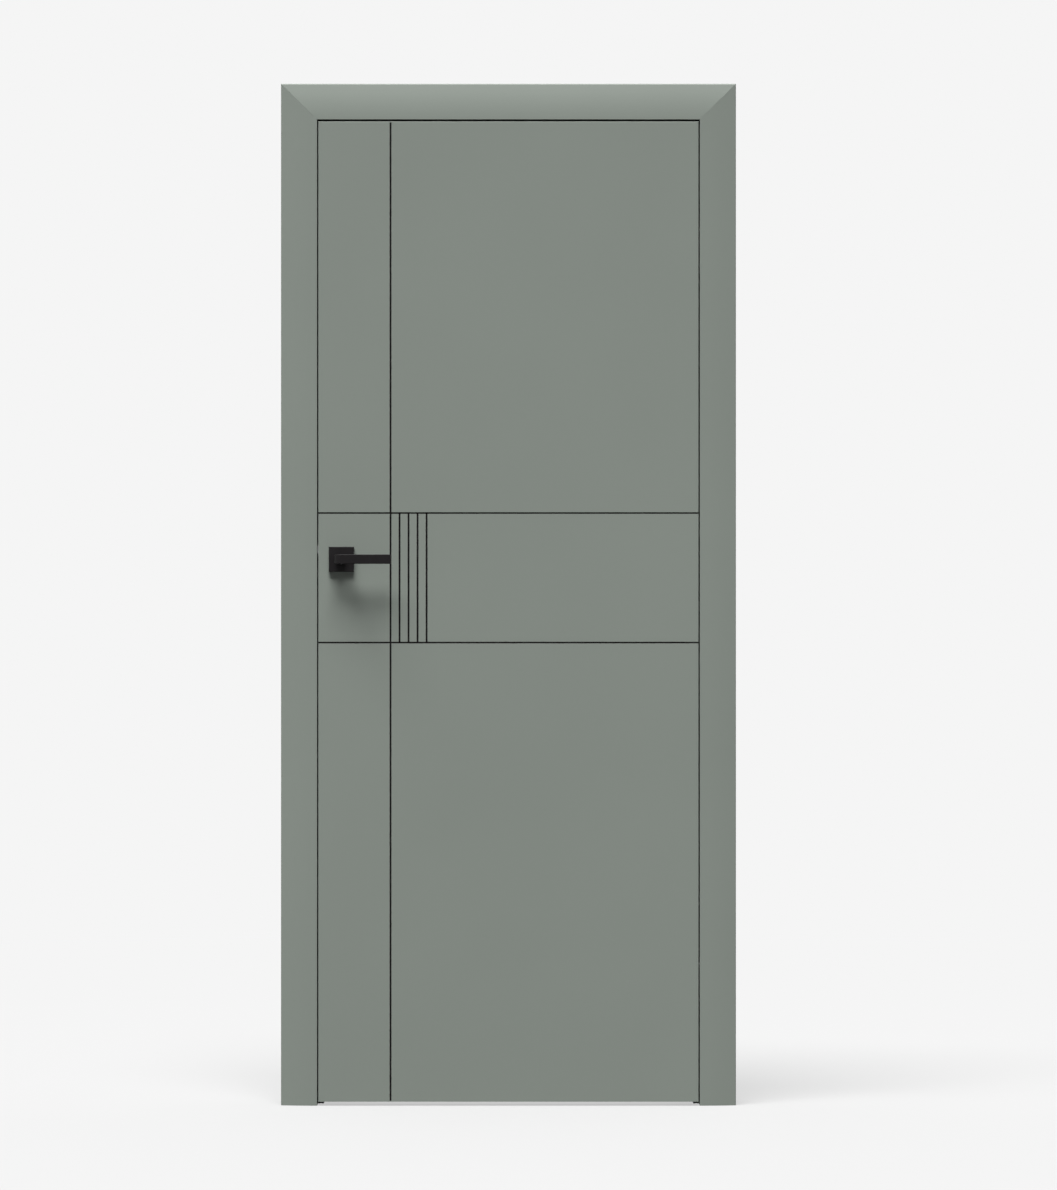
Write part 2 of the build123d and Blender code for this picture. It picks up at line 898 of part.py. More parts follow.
with BuildPart() as case_cover:
    slab(case_front_x, case_back_x, case_front_v, case_front_v + case_wall, case_low, case_high)
    plate_holes(case_front_v, case_front_v + case_wall)
save(case_cover, "latch_case_cover")

with BuildPart() as faceplate:
    with BuildSketch(Plane.YZ.offset(-leaf_half)):
        with Locations((face_y + middle_v, spindle_z + faceplate_centre)):
            Rectangle(faceplate_width, faceplate_length)
    extrude(amount=faceplate_thickness)
    bolt_window(-leaf_half, case_front_x)
    for offset in (-faceplate_screw_offset, faceplate_screw_offset):
        screw_hole(faceplate_thickness, -leaf_half, spindle_z + faceplate_centre + offset, -1)
save(faceplate, "latch_faceplate")

bolt_tip_x = -leaf_half - bolt_throw
bolt_head_end = -leaf_half + bolt_head_back
hook_x = spindle_x + hook_gap
tail_end = spindle_x + tail_reach

with BuildPart() as latch_bolt:
    with BuildSketch(Plane.XY.offset(bolt_low)):
        with BuildLine():
            Polyline(
                (bolt_tip_x, face_y + bolt_front_v),
                (bolt_head_end, face_y + bolt_front_v),
                (bolt_head_end, face_y + bolt_back_v),
                (-leaf_half - bolt_slope_stop, face_y + bolt_back_v),
                (bolt_tip_x, face_y + bolt_front_v + bolt_nose),
                close=True,
            )
        make_face()
    extrude(amount=bolt_height)
    tail_front = middle_v - tail_thickness / 2
    tail_back = middle_v + tail_thickness / 2
    slab(bolt_head_end, tail_end, tail_front, tail_back, tail_low, tail_low + tail_height)
    slab(hook_x, tail_end, tail_front, tail_back, tail_low - hook_drop, tail_low + tail_height)
save(latch_bolt, "latch_bolt")

with BuildPart() as follower:
    drill_back(spindle_x, spindle_z, follower_radius, case_front_v, case_back_v, Mode.ADD)
    with BuildSketch(across(middle_v - follower_arm_thickness / 2)):
        with Locations((spindle_x, spindle_z + follower_arm_length / 2)):
            Rectangle(follower_arm_width, follower_arm_length)
    extrude(amount=-follower_arm_thickness)
    with BuildSketch(across(case_front_v)):
        with Locations((spindle_x, spindle_z)):
            Rectangle(spindle_side + spindle_clearance, spindle_side + spindle_clearance)
    extrude(amount=-case_thickness, mode=Mode.SUBTRACT)
save(follower, "latch_follower")

# Bowed spring strip that leans on the end of the bolt and on the rear wall of the case

with BuildPart() as latch_spring:
    rear = case_back_x - case_wall - spring_clearance
    with BuildSketch(Plane.XZ.offset(-face_y - middle_v)) as strip:
        with BuildLine():
            ThreePointArc(
                (rear, case_high - case_wall - spring_drop),
                (rear - spring_bow, bolt_z + spring_bow_rise),
                (tail_end + spring_clearance, tail_low + tail_height / 2),
            )
        trace(line_width=spring_thickness)
    extrude(amount=spring_width / 2, both=True)
save(latch_spring, "latch_spring")

# Lever set

with BuildPart() as spindle:
    with BuildSketch(across(spindle_end_spare - spindle_bore_start)):
        with Locations((spindle_x, spindle_z)):
            Rectangle(spindle_side, spindle_side)
    extrude(amount=2 * spindle_end_spare - 2 * spindle_bore_start - leaf_thickness)
    chamfer(spindle.edges().filter_by(Axis.Y), spindle_bevel)
save(spindle, "spindle")


def lever(piece):
    """Bar bent out of the neck and along the door, on a round collar, bored for the spindle."""
    neck_x = spindle_x - lever_left
    neck_right = spindle_x + neck_inner_side
    neck_end = face_y - collar_end + collar_in_neck
    grip_end = spindle_x + lever_right
    out = face_y - lever_reach
    grip_back = out + grip_thickness
    low = spindle_z - lever_height / 2
    with BuildSketch(Plane.XY.offset(low)) as bar:
        with BuildLine():
            Polyline(
                (neck_x, neck_end),
                (neck_x, out),
                (grip_end, out),
                (grip_end, grip_back),
                (neck_right, grip_back),
                (neck_right, neck_end),
                close=True,
            )
        make_face()
        round_edges(bar, [(neck_x, out)], lever_outer_bend)
        round_edges(bar, [(neck_right, grip_back)], lever_inner_bend)
    extrude(bar.sketch, amount=lever_height)
    chamfer(piece.faces().sort_by(Axis.Z)[-1].edges(), lever_edge_bevel)
    chamfer(piece.faces().sort_by(Axis.Z)[0].edges(), lever_edge_bevel)
    with BuildSketch(across(-lever_reach)) as heel:
        with Locations(((neck_x + grip_end) / 2, spindle_z)):
            Rectangle(grip_end - neck_x, lever_height)
        round_edges(heel, [(neck_x, low)], lever_heel_round)
    extrude(heel.sketch, amount=-lever_reach, mode=Mode.INTERSECT)
    drill_back(spindle_x, spindle_z, collar_radius, -collar_end, -collar_start, Mode.ADD)
    with BuildSketch(across(-collar_start)) as profile:
        with Locations((spindle_x, spindle_z)):
            Rectangle(spindle_side + spindle_clearance, spindle_side + spindle_clearance)
    extrude(profile.sketch, amount=spindle_bore_start - collar_start, mode=Mode.SUBTRACT)


def to_back():
    """Turns a piece of the front set into its twin on the back of the leaf."""
    mirror(about=Plane.XZ.offset(-face_y - middle_v), mode=Mode.REPLACE)


with BuildPart() as lever_front:
    lever(lever_front)
save(lever_front, "lever_front")

with BuildPart() as lever_back:
    lever(lever_back)
    to_back()
save(lever_back, "lever_back")


def rose(cover):
    """Thin square cover with a round hole for the collar."""
    with BuildSketch(across(0)) as profile:
        with Locations((spindle_x, spindle_z)):
            Rectangle(rose_side, rose_side)
    extrude(profile.sketch, amount=rose_thickness)
    chamfer(cover.faces().sort_by(Axis.Y)[0].edges(), rose_edge_bevel)
    with BuildSketch(across(0)) as hollow:
        with Locations((spindle_x, spindle_z)):
            Rectangle(rose_side - 2 * rose_wall, rose_side - 2 * rose_wall)
    extrude(hollow.sketch, amount=rose_thickness - rose_wall, mode=Mode.SUBTRACT)
    drill_back(spindle_x, spindle_z, collar_radius + collar_clearance, -rose_thickness, 0)


def rose_base():
    """Plate under the cover, screwed to the leaf, with a bearing hole for the collar."""
    base_side = rose_side - 2 * rose_wall - 2 * rose_base_clearance
    with BuildSketch(across(0)) as profile:
        with Locations((spindle_x, spindle_z)):
            Rectangle(base_side, base_side)
    extrude(profile.sketch, amount=rose_base_thickness)
    drill_back(spindle_x, spindle_z, collar_radius + collar_clearance, -rose_base_thickness, 0)
    for offset in (-rose_bolt_offset, rose_bolt_offset):
        drill_back(
            spindle_x + offset,
            spindle_z,
            rose_bolt_radius + rose_bolt_clearance,
            -rose_base_thickness,
            0,
        )


with BuildPart() as rose_front:
    rose(rose_front)
save(rose_front, "rose_front")

with BuildPart() as rose_back:
    rose(rose_back)
    to_back()
save(rose_back, "rose_back")

with BuildPart() as rose_base_front:
    rose_base()
save(rose_base_front, "rose_base_front")

with BuildPart() as rose_base_back:
    rose_base()
    to_back()
save(rose_base_back, "rose_base_back")

with BuildPart() as rose_bolts:
    head_v = -rose_base_thickness - rose_bolt_head_height
    nut_v = leaf_thickness + rose_base_thickness + rose_bolt_head_height
    bolt_xs = (spindle_x - rose_bolt_offset, spindle_x + rose_bolt_offset)
    for x in bolt_xs:
        drill_back(x, spindle_z, rose_bolt_radius, head_v, nut_v, Mode.ADD)
    for start in (head_v, nut_v - rose_bolt_head_height):
        with BuildSketch(across(start)):
            with Locations([(x, spindle_z) for x in bolt_xs]):
                RegularPolygon(rose_bolt_head_radius, 6)
        extrude(amount=-rose_bolt_head_height)
save(rose_bolts, "rose_bolts")
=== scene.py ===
import json
import math
import bpy
import numpy as np
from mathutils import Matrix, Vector


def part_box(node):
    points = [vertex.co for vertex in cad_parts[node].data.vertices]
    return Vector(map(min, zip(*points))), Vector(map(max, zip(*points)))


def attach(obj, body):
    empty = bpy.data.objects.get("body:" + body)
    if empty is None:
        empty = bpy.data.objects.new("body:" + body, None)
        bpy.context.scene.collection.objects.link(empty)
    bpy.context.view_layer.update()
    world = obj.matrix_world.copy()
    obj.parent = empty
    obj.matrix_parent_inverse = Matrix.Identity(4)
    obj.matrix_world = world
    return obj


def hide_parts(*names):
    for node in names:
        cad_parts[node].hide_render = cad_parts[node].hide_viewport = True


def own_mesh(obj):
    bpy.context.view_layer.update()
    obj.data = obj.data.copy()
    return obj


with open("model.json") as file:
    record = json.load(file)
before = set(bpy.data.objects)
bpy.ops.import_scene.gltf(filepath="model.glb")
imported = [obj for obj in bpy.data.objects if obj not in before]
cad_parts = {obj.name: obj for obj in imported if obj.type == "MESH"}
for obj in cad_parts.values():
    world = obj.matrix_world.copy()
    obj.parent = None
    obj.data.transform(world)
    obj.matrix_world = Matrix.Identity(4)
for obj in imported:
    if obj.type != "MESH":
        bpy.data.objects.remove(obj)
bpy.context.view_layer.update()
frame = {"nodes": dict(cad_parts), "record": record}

# Looks for a flush interior door in its frame: grey-green lacquer, black inlay lines, black lever.
# Metres, X to the hinge side, Y to the back, Z up, as the solids have it.

nodes = frame["nodes"]
slotOf = {part["node"]: part["material_slot"] for part in frame["record"]["subparts"]}
print("frame loaded,", len(nodes), "solids")


# Shaders are built from these few helpers; most values of the noise lie in this range
noiseRange = (0.3, 0.7)


def newMaterial(name, colour, roughness, metallic=0.0):
    # a Principled shader on an empty tree, with Object coordinates at hand
    material = bpy.data.materials.new(name)
    material.use_nodes = True
    tree = material.node_tree
    tree.nodes.clear()
    output = tree.nodes.new("ShaderNodeOutputMaterial")
    shader = tree.nodes.new("ShaderNodeBsdfPrincipled")
    place = tree.nodes.new("ShaderNodeTexCoord")
    tree.links.new(shader.outputs["BSDF"], output.inputs["Surface"])
    shader.inputs["Base Color"].default_value = (*colour, 1.0)
    shader.inputs["Roughness"].default_value = roughness
    shader.inputs["Metallic"].default_value = metallic
    return material, tree, shader, place


def noiseOn(tree, place, scale, stretch=(1, 1, 1), detail=4.0, rough=0.55):
    # noise that reads the piece's own metres, stretched by a Mapping node
    mapping = tree.nodes.new("ShaderNodeMapping")
    mapping.inputs["Scale"].default_value = stretch
    noise = tree.nodes.new("ShaderNodeTexNoise")
    noise.inputs["Scale"].default_value = scale
    noise.inputs["Detail"].default_value = detail
    noise.inputs["Roughness"].default_value = rough
    tree.links.new(place.outputs["Object"], mapping.inputs["Vector"])
    tree.links.new(mapping.outputs["Vector"], noise.inputs["Vector"])
    return noise.outputs["Fac"]


def rampOn(tree, value, stops):
    # colour by value, stops as (position, colour)
    ramp = tree.nodes.new("ShaderNodeValToRGB")
    elements = ramp.color_ramp.elements
    while len(elements) < len(stops):
        elements.new(0.5)
    for element, (position, colour) in zip(elements, stops):
        element.position = position
        element.color = (*colour, 1.0)
    tree.links.new(value, ramp.inputs["Fac"])
    return ramp.outputs["Color"]


def spreadOn(tree, value, low, high):
    # value moved in proportion from the noise's usual range to low..high
    spread = tree.nodes.new("ShaderNodeMapRange")
    spread.inputs["From Min"].default_value = noiseRange[0]
    spread.inputs["From Max"].default_value = noiseRange[1]
    spread.inputs["To Min"].default_value = low
    spread.inputs["To Max"].default_value = high
    tree.links.new(value, spread.inputs["Value"])
    return spread.outputs["Result"]


def bumpOn(tree, shader, value, depth):
    # bump of real depth in metres
    bump = tree.nodes.new("ShaderNodeBump")
    bump.inputs["Strength"].default_value = 1.0
    bump.inputs["Distance"].default_value = depth
    tree.links.new(value, bump.inputs["Height"])
    tree.links.new(bump.outputs["Normal"], shader.inputs["Normal"])


def shade(colour, factor):
    # every channel times the factor, at most 1
    return tuple(min(1.0, channel * factor) for channel in colour)


def twoTones(colour, low, high):
    # the colour's darker and lighter tone, at the two ends of the noise's usual range
    return [(noiseRange[0], shade(colour, low)), (noiseRange[1], shade(colour, high))]


# Lacquer: sprayed satin coat over fibreboard, faint orange peel and the slightest cloud in tone
lacquer = {
    "colour": (0.2196, 0.2462, 0.2196),
    "tones": (0.98, 1.02),
    "cloudScale": 2.2,
    "roughness": (0.50, 0.58),
    "glossScale": 60.0,
    "peelScale": 420.0,
    "peelDepth": 0.000012,
    "specular": 0.4,
}


def lacquerMaterial():
    material, tree, shader, place = newMaterial("grey_green_lacquer", lacquer["colour"], roughness=0.55)
    shader.inputs["Specular IOR Level"].default_value = lacquer["specular"]
    cloud = noiseOn(tree, place, lacquer["cloudScale"], detail=2.0)
    tones = twoTones(lacquer["colour"], *lacquer["tones"])
    tree.links.new(rampOn(tree, cloud, tones), shader.inputs["Base Color"])
    gloss = noiseOn(tree, place, lacquer["glossScale"])
    tree.links.new(spreadOn(tree, gloss, *lacquer["roughness"]), shader.inputs["Roughness"])
    peel = noiseOn(tree, place, lacquer["peelScale"], detail=2.0)
    bumpOn(tree, shader, peel, lacquer["peelDepth"])
    return material


# Inlay: matt black anodised strip, drawn lengthwise
inlay = {
    "colour": (0.0050, 0.0038, 0.0042),
    "tones": (0.8, 1.3),
    "roughness": (0.45, 0.6),
    "specular": 0.06,
    "drawScale": 90.0,
    "drawStretch": (12, 12, 0.6),
    "drawDepth": 0.000004,
}


def inlayMaterial():
    material, tree, shader, place = newMaterial("black_anodised_strip", inlay["colour"], roughness=0.5)
    shader.inputs["Specular IOR Level"].default_value = inlay["specular"]
    drawn = noiseOn(tree, place, inlay["drawScale"], stretch=inlay["drawStretch"])
    tones = twoTones(inlay["colour"], *inlay["tones"])
    tree.links.new(rampOn(tree, drawn, tones), shader.inputs["Base Color"])
    tree.links.new(spreadOn(tree, drawn, *inlay["roughness"]), shader.inputs["Roughness"])
    bumpOn(tree, shader, drawn, inlay["drawDepth"])
    return material


# Handle: black powder coat, a fine even pebble
handle = {
    "colour": (0.0105, 0.0094, 0.0100),
    "tones": (0.88, 1.15),
    "cloudScale": 30.0,
    "roughness": (0.36, 0.48),
    "specular": 0.13,
    "pebbleScale": 1500.0,
    "pebbleDepth": 0.00003,
}


def handleMaterial():
    material, tree, shader, place = newMaterial("black_powder_coat", handle["colour"], roughness=0.42)
    shader.inputs["Specular IOR Level"].default_value = handle["specular"]
    cloud = noiseOn(tree, place, handle["cloudScale"])
    tones = twoTones(handle["colour"], *handle["tones"])
    tree.links.new(rampOn(tree, cloud, tones), shader.inputs["Base Color"])
    pebble = noiseOn(tree, place, handle["pebbleScale"], detail=2.0)
    tree.links.new(spreadOn(tree, pebble, *handle["roughness"]), shader.inputs["Roughness"])
    bumpOn(tree, shader, pebble, handle["pebbleDepth"])
    return material


# Seal: soft dark rubber with faint extrusion lines
seal = {
    "colour": (0.016, 0.016, 0.016),
    "tones": (0.8, 1.3),
    "roughness": (0.6, 0.75),
    "lineScale": 300.0,
    "lineStretch": (4, 4, 0.05),
    "lineDepth": 0.00001,
}


def sealMaterial():
    material, tree, shader, place = newMaterial("seal_rubber", seal["colour"], roughness=0.7)
    lines = noiseOn(tree, place, seal["lineScale"], stretch=seal["lineStretch"])
    tones = twoTones(seal["colour"], *seal["tones"])
    tree.links.new(rampOn(tree, lines, tones), shader.inputs["Base Color"])
    tree.links.new(spreadOn(tree, lines, *seal["roughness"]), shader.inputs["Roughness"])
    bumpOn(tree, shader, lines, seal["lineDepth"])
    return material


# Metals: each has its own colour and grain; a soft cloud of tone is common to all
metals = {
    "zinc_steel": {"colour": (0.60, 0.61, 0.62), "roughness": (0.28, 0.45),
                   "scale": 260.0, "stretch": (1, 1, 1), "depth": 0.00001},
    "brushed_steel": {"colour": (0.58, 0.58, 0.57), "roughness": (0.24, 0.40),
                      "scale": 500.0, "stretch": (1, 6, 0.06), "depth": 0.000006},
    "hinge_zinc": {"colour": (0.47, 0.47, 0.46), "roughness": (0.34, 0.48),
                   "scale": 700.0, "stretch": (1, 1, 1), "depth": 0.00002},
    "hinge_steel": {"colour": (0.50, 0.50, 0.50), "roughness": (0.26, 0.42),
                    "scale": 500.0, "stretch": (0.1, 0.1, 6), "depth": 0.000008},
}
metalCloud = {"scale": 45.0, "tones": (0.9, 1.07)}


def metalMaterial(slotName):
    look = metals[slotName]
    material, tree, shader, place = newMaterial(slotName, look["colour"], roughness=0.35, metallic=1.0)
    grain = noiseOn(tree, place, look["scale"], stretch=look["stretch"])
    cloud = noiseOn(tree, place, metalCloud["scale"])
    tones = twoTones(look["colour"], *metalCloud["tones"])
    tree.links.new(rampOn(tree, cloud, tones), shader.inputs["Base Color"])
    tree.links.new(spreadOn(tree, grain, *look["roughness"]), shader.inputs["Roughness"])
    bumpOn(tree, shader, grain, look["depth"])
    return material


# Plastic under the roses: black, spark-eroded grain
basePlastic = {
    "colour": (0.014, 0.014, 0.014),
    "tones": (0.8, 1.25),
    "roughness": (0.45, 0.6),
    "grainScale": 1800.0,
    "grainDepth": 0.00002,
}


def basePlasticMaterial():
    material, tree, shader, place = newMaterial("base_plastic", basePlastic["colour"], roughness=0.5)
    grain = noiseOn(tree, place, basePlastic["grainScale"], detail=2.0)
    tones = twoTones(basePlastic["colour"], *basePlastic["tones"])
    tree.links.new(rampOn(tree, grain, tones), shader.inputs["Base Color"])
    tree.links.new(spreadOn(tree, grain, *basePlastic["roughness"]), shader.inputs["Roughness"])
    bumpOn(tree, shader, grain, basePlastic["grainDepth"])
    return material


# Softwood of the stiles, rails and blocks: long early and late wood bands, fine fibre between them
pine = {
    "early": (0.62, 0.43, 0.24),
    "late": (0.40, 0.235, 0.105),
    "ringScale": 38.0,
    "ringStretch": (1, 1, 0.035),
    "fibreScale": 900.0,
    "fibreStretch": (1, 1, 0.02),
    "fibreDepth": 0.00004,
    "roughness": (0.52, 0.7),
}


def pineMaterial():
    material, tree, shader, place = newMaterial("planed_softwood", pine["early"], roughness=0.6)
    rings = noiseOn(tree, place, pine["ringScale"], stretch=pine["ringStretch"], detail=3.0)
    fibre = noiseOn(tree, place, pine["fibreScale"], stretch=pine["fibreStretch"])
    bands = [(0.30, pine["early"]), (0.48, shade(pine["early"], 0.9)), (0.56, pine["late"]),
             (0.62, pine["early"]), (0.75, shade(pine["early"], 1.06))]
    tree.links.new(rampOn(tree, rings, bands), shader.inputs["Base Color"])
    tree.links.new(spreadOn(tree, fibre, *pine["roughness"]), shader.inputs["Roughness"])
    bumpOn(tree, shader, fibre, pine["fibreDepth"])
    return material


# Chipboard: flakes of several woods pressed flat
chipboard = {
    "flakes": [(0.1, (0.36, 0.24, 0.13)), (0.4, (0.50, 0.36, 0.21)), (0.65, (0.60, 0.46, 0.29)),
               (0.9, (0.42, 0.29, 0.16))],
    "flakeScale": 320.0,
    "flakeStretch": (1, 2.4, 0.7),
    "flakeDepth": 0.00015,
}


def chipboardMaterial():
    material, tree, shader, place = newMaterial("raw_chipboard", chipboard["flakes"][1][1], roughness=0.75)
    mapping = tree.nodes.new("ShaderNodeMapping")
    mapping.inputs["Scale"].default_value = chipboard["flakeStretch"]
    cells = tree.nodes.new("ShaderNodeTexVoronoi")
    cells.inputs["Scale"].default_value = chipboard["flakeScale"]
    tree.links.new(place.outputs["Object"], mapping.inputs["Vector"])
    tree.links.new(mapping.outputs["Vector"], cells.inputs["Vector"])
    split = tree.nodes.new("ShaderNodeSeparateColor")
    tree.links.new(cells.outputs["Color"], split.inputs["Color"])
    tree.links.new(rampOn(tree, split.outputs["Red"], chipboard["flakes"]), shader.inputs["Base Color"])
    bumpOn(tree, shader, cells.outputs["Distance"], chipboard["flakeDepth"])
    return material


finishes = {
    "lacquer": lacquerMaterial(),
    "inlay_black": inlayMaterial(),
    "handle_black": handleMaterial(),
    "seal_rubber": sealMaterial(),
    "base_plastic": basePlasticMaterial(),
    "pine": pineMaterial(),
    "chipboard": chipboardMaterial(),
}
for slotName in metals:
    finishes[slotName] = metalMaterial(slotName)

for name, node in nodes.items():
    node.data.materials.clear()
    node.data.materials.append(finishes[slotOf[name]])
print("finishes on every solid")


# New pieces are rings of points closed at both ends by one point each; edges sharper than this angle
# in degrees stay sharp
sharpEdge = 35


def closedRings(name, rings, firstPole, lastPole, starts, turns):
    # rings[i, j] are points along i and round j; every copy k is turned by turns[k] and moved to starts[k]
    ringCount, aroundCount = rings.shape[:2]
    points = np.concatenate([[firstPole], rings.reshape(-1, 3), [lastPole]])
    i, j = np.meshgrid(np.arange(ringCount - 1), np.arange(aroundCount), indexing="ij")
    following = (j + 1) % aroundCount
    quads = np.stack(
        [1 + i * aroundCount + j, 1 + i * aroundCount + following,
         1 + (i + 1) * aroundCount + following, 1 + (i + 1) * aroundCount + j], axis=-1).reshape(-1, 4)
    around = np.arange(aroundCount)
    nextAround = (around + 1) % aroundCount
    lastRing = 1 + (ringCount - 1) * aroundCount
    caps = np.concatenate([
        np.stack([np.zeros_like(around), 1 + nextAround, 1 + around], axis=-1),
        np.stack([np.full_like(around, len(points) - 1), lastRing + around, lastRing + nextAround], axis=-1),
    ])
    # six times the volume, from triangles to the origin: a negative one means the faces look inwards
    halves = np.concatenate([quads[:, [0, 1, 2]], quads[:, [0, 2, 3]], caps])
    corner = points[halves]
    inwards = np.einsum("ij,ij->i", corner[:, 0], np.cross(corner[:, 1], corner[:, 2])).sum() < 0
    if inwards:
        quads, caps = quads[:, ::-1], caps[:, ::-1]
    placed = np.einsum("kab,nb->kna", turns, points) + starts[:, None, :]
    step = (np.arange(len(starts)) * len(points))[:, None, None]
    faces = (quads[None] + step).reshape(-1, 4).tolist() + (caps[None] + step).reshape(-1, 3).tolist()
    mesh = bpy.data.meshes.new(name)
    mesh.from_pydata(placed.reshape(-1, 3).tolist(), [], faces)
    mesh.polygons.foreach_set("use_smooth", np.ones(len(faces), bool))
    mesh.update()
    mesh.set_sharp_from_angle(angle=math.radians(sharpEdge))
    piece = bpy.data.objects.new(name, mesh)
    bpy.context.collection.objects.link(piece)
    return piece


def alongX(direction):
    # turn that lays the screw's own axis along +X or -X; a half turn, so nothing is mirrored
    return np.eye(3) if direction > 0 else np.diag([-1.0, -1.0, 1.0])


# Countersunk screws with a cross recess and a coarse thread
countersunk = {
    "headRadius": 0.004,
    "headDepth": 0.0024,
    "shankRadius": 0.00195,
    "length": 0.024,
    "tipLength": 0.004,
    "tipBlunt": 0.08,        # the tip's end, as a share of the shank's radius
    "pitch": 0.0016,
    "threadDepth": 0.0004,
    "recessRadius": 0.0022,
    "recessArm": 0.0005,
    "recessDepth": 0.0014,
    "recessWall": 0.0003,    # width of the sloping wall at the arms' sides; double at their ends
    "around": 48,
    "rings": {"face": 20, "cone": 4, "shank": 59, "tip": 9},
}


def screwRings(look, dome=0.0, sink=0.0):
    # outline from the middle of the head to the tip, turned round X: the head's face sinks by the recess
    # where a point lies within an arm's width of either axis, and the shank is cut in by the thread's
    # depth times one minus a triangle wave, which climbs one pitch a turn
    turn = np.linspace(0, 2 * math.pi, look["around"], endpoint=False)
    rings = look["rings"]
    pole, tipGap = 0.0001, 0.0002
    faceRadius = np.linspace(pole, look["headRadius"], rings["face"])
    faceX = sink - dome * (1 - (faceRadius / look["headRadius"]) ** 2)
    coneRadius = np.linspace(look["headRadius"], look["shankRadius"], rings["cone"] + 1)[1:]
    coneX = sink + np.linspace(0, look["headDepth"], rings["cone"] + 1)[1:]
    tipStart = look["length"] - look["tipLength"]
    shankX = np.linspace(look["headDepth"] + sink, tipStart, rings["shank"] + 1)[1:]
    shankRadius = np.full(rings["shank"], look["shankRadius"])
    tipX = np.linspace(tipStart, look["length"] - tipGap, rings["tip"] + 1)[1:]
    tipRadius = look["shankRadius"] * np.linspace(1, look["tipBlunt"], rings["tip"] + 1)[1:]
    radius = np.concatenate([faceRadius, coneRadius, shankRadius, tipRadius])
    x = np.concatenate([faceX, coneX, shankX, tipX])
    threaded = np.concatenate([np.ones(rings["shank"]), np.linspace(1, 0, rings["tip"])])
    onShank = np.concatenate([np.zeros(rings["face"] + rings["cone"]), threaded])
    onFace = np.where(np.arange(len(radius)) < rings["face"], 1.0, 0.0)
    wave = 1 - np.abs(2 * ((x[:, None] / look["pitch"] - turn[None, :] / (2 * math.pi)) % 1) - 1)
    reach = radius[:, None] - look["threadDepth"] * (1 - wave) * onShank[:, None]
    across = np.minimum(np.abs(reach * np.cos(turn)), np.abs(reach * np.sin(turn)))
    arm = np.clip((look["recessArm"] - across) / look["recessWall"] + 0.5, 0, 1)
    within = np.clip((look["recessRadius"] - reach) / (2 * look["recessWall"]) + 0.5, 0, 1)
    depth = look["recessDepth"] * arm * within * onFace[:, None]
    points = np.stack([x[:, None] + depth, reach * np.cos(turn), reach * np.sin(turn)], axis=-1)
    return points, (sink - dome + look["recessDepth"], 0, 0), (look["length"], 0, 0)


def middleOf(node, axis):
    # half of the sum of the box's two faces on the axis
    low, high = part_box(node)
    return (low[axis] + high[axis]) / 2


def screwsOn(name, rings, starts, direction, body):
    # the same screw at every start, along +X or -X, riding on one body
    turns = np.stack([alongX(direction)] * len(starts))
    piece = closedRings(name, *rings, np.array(starts), turns)
    piece.data.materials.append(finishes["zinc_steel"])
    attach(piece, body)


# One screw near each end of the strike plate and of the latch's faceplate, sunk in the plate's own hole
plateScrews = {
    "strike_plate": {"fromEnd": 0.011, "sink": 0.0001, "body": "frame"},
    "latch_faceplate": {"fromEnd": 0.010, "sink": 0.0001, "body": "leaf"},
}
for plate, place in plateScrews.items():
    low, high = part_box(plate)
    direction = 1 if place["body"] == "leaf" else -1
    edgeX = low[0] if direction > 0 else high[0]
    heights = (low[2] + place["fromEnd"], high[2] - place["fromEnd"])
    starts = [(edgeX, middleOf(plate, 1), z) for z in heights]
    rings = screwRings(countersunk, sink=place["sink"])
    screwsOn(plate + "_screws", rings, starts, direction, place["body"])
print("plate screws")

# Raised countersunk screws in the ends of the hinge bodies, and a pair of hexagon adjusters by the window
hingeScrews = {
    "dome": 0.0011,
    "offsets": (-0.068, -0.048, 0.048, 0.068),   # from the middle of the hinge's body
    "recessDepth": 0.001,
    "headRadius": 0.0042,
}
hexAdjuster = {
    "radius": 0.0032,
    "socket": 0.0015,        # from the middle to a flat of the hexagon
    "proud": 0.0006,
    "rooted": 0.0008,        # how far the side runs on behind the face it sits on
    "offsets": (-0.037, 0.037),
    "around": 48,
    "faceRings": 6,
}


def hexRings(look):
    # a low round button: its face sinks inside a hexagon, whose radius at an angle is the flat's
    # distance over the cosine of the angle from the nearest flat; from nine tenths of its radius on the
    # rim is rounded off, and its side ends behind the face it sits on
    turn = np.linspace(0, 2 * math.pi, look["around"], endpoint=False)
    fromFlat = (turn + math.pi / 6) % (math.pi / 3) - math.pi / 6
    hexagon = look["socket"] / np.cos(fromFlat)
    count, face = look["faceRings"], -look["proud"]
    inside = np.array([0.08, 0.5, 0.97, 1.0])[:, None] * hexagon
    outside = hexagon + np.linspace(0.05, 1, count)[:, None] * (look["radius"] * 0.9 - hexagon)
    rim = np.array([0.96, 1.0, 1.0, 1.0])[:, None] * look["radius"] * np.ones_like(turn)
    reach = np.concatenate([inside, outside, rim])
    socketX = np.array([0.1, 0.1, 0.1, 0.95]) * face
    rimX = np.array([0.9 * face, 0.6 * face, 0.0, look["rooted"]])
    x = np.concatenate([socketX, np.full(count, face), rimX])[:, None]
    points = np.stack([x * np.ones_like(reach), reach * np.cos(turn), reach * np.sin(turn)], axis=-1)
    return points, (socketX[0], 0, 0), (look["rooted"] + 0.0001, 0, 0)


